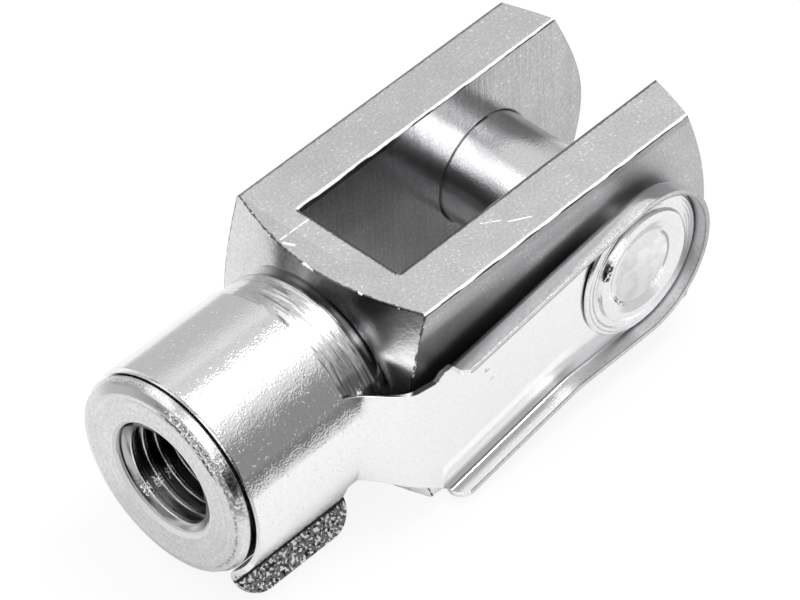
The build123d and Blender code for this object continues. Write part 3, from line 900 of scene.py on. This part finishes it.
def makeClipSteel(plan):
    material, recipe = newMaterial("clipSteel")
    at = measure(recipe)
    at.fromPin = recipe.distance(at.x, at.z)
    at.grain = recipe.noise(plan["grain"]["scale"], detail=1.0)
    at.hammered = recipe.noise(plan["lip"]["scale"], detail=1.0)
    findBorder(recipe, at, plan)
    findClipRegions(recipe, at, plan)
    spread = plan["grain"]["spread"]
    tone = recipe.smooth(at.grain, *plan["grain"]["reach"], 1 - spread, 1 + spread)
    # painted shade on the saddle
    for towards, sweep, shade in plan["saddleShades"]:
        here = recipe.allOf(at.onSaddle, recipe.heading(at.y, at.z, at.radius, towards, sweep))
        tone = recipe.shade(tone, here, shade)
    tone, flecks = shadeLip(recipe, at, plan, tone)
    tone = shadeArm(recipe, at, plan, tone)
    tone = markArm(recipe, at, plan, tone)
    eyeWall = recipe.allOf(at.raised, recipe.smooth(at.x, *plan["eyeWallStart"]),
                           recipe.above(at.border, plan["borderWall"][0]))
    polish = recipe.mix(eyeWall, plan["roughness"]["sheet"], plan["roughness"]["eyeWall"])
    metallic = recipe.timesPlus(flecks, -plan["lip"]["matt"], 1.0)
    finishSteel(recipe, plan, tone, polish, clipHeight(recipe, at, plan), metallic)
    return material


# turned and riveted pin; directions are in x and z
pinPlan = {
    "colour": (0.8, 0.8, 0.81),
    "roughness": {"body": 0.22, "head": 0.2},
    "bump": 0.012,
    "soften": 0.08,
    "headStart": -11.0,
    "sideFacing": 0.5,
    # painted light on one side of the pin's body, painted shade on the other
    "bodyLightAndShade": {"towards": (-0.31, 0.95), "sweep": (0.7, 0.92), "dark": 0.55, "light": 0.86},
    "grain": {"scale": 5200, "height": 1.1, "headHeight": 0.6, "spread": 0.05, "reach": (0.3, 0.72)},
    "rings": {"scale": 2.2, "height": 0.5},
    "ripples": {"radii": (5.0, 6.2, 0.1), "step": 0.31, "height": 0.45},
    # painted shade in the dish, darker downwards and towards the shank
    "dish": {"radii": (3.05, 3.35), "sweep": (-2.5, 3.0), "tones": (0.78, 0.98), "cloud": 900,
             "spread": 0.08},
    # broken arcs of painted shade and painted glints on the head: radii, direction, sweep, breaks and tone
    "arcFlecks": 4200,
    "arcs": (
        ((4.45, 4.95), (-0.86, 0.51), (0.975, 0.985), (0.42, 0.48), 0.06),
        ((3.3, 3.62), (-0.72, -0.69), (0.87, 0.93), (0.44, 0.5), 0.1),
        ((2.95, 3.17), (0.99, 0.05), (0.7, 0.8), (0.2, 0.3), 0.5),
        ((5.55, 5.67), (-0.95, -0.3), (0.7, 0.85), (0.3, 0.4), 0.6),
        ((5.95, 6.05), (-0.95, -0.3), (0.7, 0.85), (0.3, 0.4), 0.7),
        ((4.35, 4.95), (-0.64, 0.77), (0.965, 0.98), (0.44, 0.5), 1.3),
        ((5.0, 5.1), (-0.2, 0.98), (0.8, 0.9), (0.25, 0.35), 0.6),
        ((5.35, 5.5), (-0.05, 0.99), (0.8, 0.9), (0.25, 0.35), 0.7),
        ((2.9, 3.5), (0.57, -0.82), (0.94, 0.97), (0.46, 0.52), 1.25),
        ((3.2, 4.1), (-0.2, -0.98), (0.75, 0.95), (0.1, 0.4), 0.68),
        ((3.2, 3.5), (0.1, 0.99), (0.7, 0.9), (0.2, 0.45), 0.72),
    ),
}


def pinHeight(recipe, at, plan):
    grain, rings, ripples = plan["grain"], plan["rings"], plan["ripples"]
    height = recipe.times(at.grain, recipe.mix(at.onHead, grain["height"], grain["headHeight"]))
    wave = recipe.math("SINE", recipe.times(at.fromPin, math.tau / ripples["step"]))
    wave = recipe.times(wave, recipe.within(at.fromPin, *ripples["radii"]))
    turned = recipe.times(recipe.lines(at.fromPin, rings["scale"]), rings["height"])
    return recipe.timesPlus(recipe.timesPlus(wave, ripples["height"], turned), at.onHead, height)


def makePinSteel(plan):
    material, recipe = newMaterial("pinSteel")
    at = measure(recipe)
    at.fromPin = recipe.distance(at.x, at.z)
    at.grain = recipe.noise(plan["grain"]["scale"], detail=1.0)
    at.onHead = recipe.below(at.y, plan["headStart"])
    spread = plan["grain"]["spread"]
    tone = recipe.smooth(at.grain, *plan["grain"]["reach"], 1 - spread, 1 + spread)
    # painted light and shade round the pin's body
    body = plan["bodyLightAndShade"]
    lit = recipe.heading(at.x, at.z, at.fromPin, body["towards"], body["sweep"])
    onBody = recipe.allOf(recipe.below(at.faceY, plan["sideFacing"]), recipe.outside(at.onHead))
    tone = recipe.shade(tone, onBody, recipe.mix(lit, body["dark"], body["light"]))
    # painted shade in the dish
    dish = plan["dish"]
    inDish = recipe.allOf(at.onHead, recipe.fade(at.fromPin, *dish["radii"]))
    paintedShade = recipe.smooth(recipe.plus(at.x, at.z), *dish["sweep"], *dish["tones"])
    paintedShade = recipe.times(paintedShade, recipe.vary(recipe.noise(dish["cloud"], detail=3.0), dish["spread"]))
    tone = recipe.shade(tone, inDish, paintedShade)
    around = (at.x, at.z, at.fromPin, at.fromPin, recipe.noise(plan["arcFlecks"]))
    # broken arcs of painted shade and painted glints
    for *arc, shade in plan["arcs"]:
        here = recipe.allOf(at.onHead, brokenRing(recipe, around, *arc))
        tone = recipe.mix(here, tone, shade)
    polish = recipe.mix(at.onHead, plan["roughness"]["body"], plan["roughness"]["head"])
    finishSteel(recipe, plan, tone, polish, pinHeight(recipe, at, plan))
    return material


forkSteel = makeForkSteel(forkPlan)
clipSteel = makeClipSteel(clipPlan)
pinSteel = makePinSteel(pinPlan)
for nodeName, material in (("fork_body", forkSteel), ("clevis_pin", pinSteel), ("spring_clip", clipSteel)):
    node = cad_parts[nodeName]
    node.data.materials.clear()
    node.data.materials.append(material)
print("steel finished")

# ridges of the female thread, wound inside the plain bore from the slot to the mouth
threadPlan = {
    "pitch": 1.25,
    "rootRadius": 5.02,
    "crestRadius": 4.33,
    "crestWidth": 0.3,
    "rootWidth": 1.1,
    "mouthDepth": 0.22,
    "shift": -2.4,
    "trim": 0.02,
    "taper": 3.0,
    "steps": 72,
}


def addThread(plan):
    deselectAll()
    mouth, inner = forkPlan["shankEnd"] + plan["mouthDepth"], forkPlan["slotRoot"]
    middle = (plan["rootRadius"] + plan["crestRadius"]) / 2
    start = mouth + plan["shift"]
    bpy.ops.mesh.primitive_plane_add(size=1 * mm, location=(start * mm, 0, middle * mm),
                                     rotation=(math.radians(90), 0, 0))
    ridge = bpy.context.active_object
    ridge.name = "thread_ridges"
    ridge.scale = (plan["rootWidth"], plan["rootRadius"] - plan["crestRadius"], 1)
    applyPlace(ridge)
    # narrow the inner edge to the crest
    narrowed = plan["crestWidth"] / plan["rootWidth"]
    for vert in ridge.data.vertices:
        if vert.co.z < middle * mm:
            vert.co.x = start * mm + (vert.co.x - start * mm) * narrowed
    turns = math.ceil((inner - start) / plan["pitch"]) + 2
    applyModifier(ridge, "SCREW", "windThread", axis="X", angle=math.tau, iterations=turns,
                  screw_offset=plan["pitch"] * mm, steps=plan["steps"], render_steps=plan["steps"],
                  use_merge_vertices=True, merge_threshold=1e-6)
    bpy.ops.object.mode_set(mode="EDIT")
    bpy.ops.mesh.select_all(action="SELECT")
    bpy.ops.mesh.normals_make_consistent(inside=False)
    for cut, atMouth in ((mouth + plan["trim"], True), (inner - plan["trim"], False)):
        bpy.ops.mesh.select_all(action="SELECT")
        bpy.ops.mesh.bisect(plane_co=(cut * mm, 0, 0), plane_no=(1, 0, 0), clear_inner=atMouth,
                            clear_outer=not atMouth)
    bpy.ops.object.mode_set(mode="OBJECT")
    # the ridge rises out of the bore at both ends
    for vert in ridge.data.vertices:
        away = math.hypot(vert.co.y, vert.co.z)
        inside = min(vert.co.x - mouth * mm, inner * mm - vert.co.x)
        least = plan["rootRadius"] * mm - max(inside, 0) * plan["taper"]
        if away < least:
            vert.co.y *= least / away
            vert.co.z *= least / away
    ridge.data.materials.append(forkSteel)
    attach(ridge, "fork")


addThread(threadPlan)
print("thread cut")
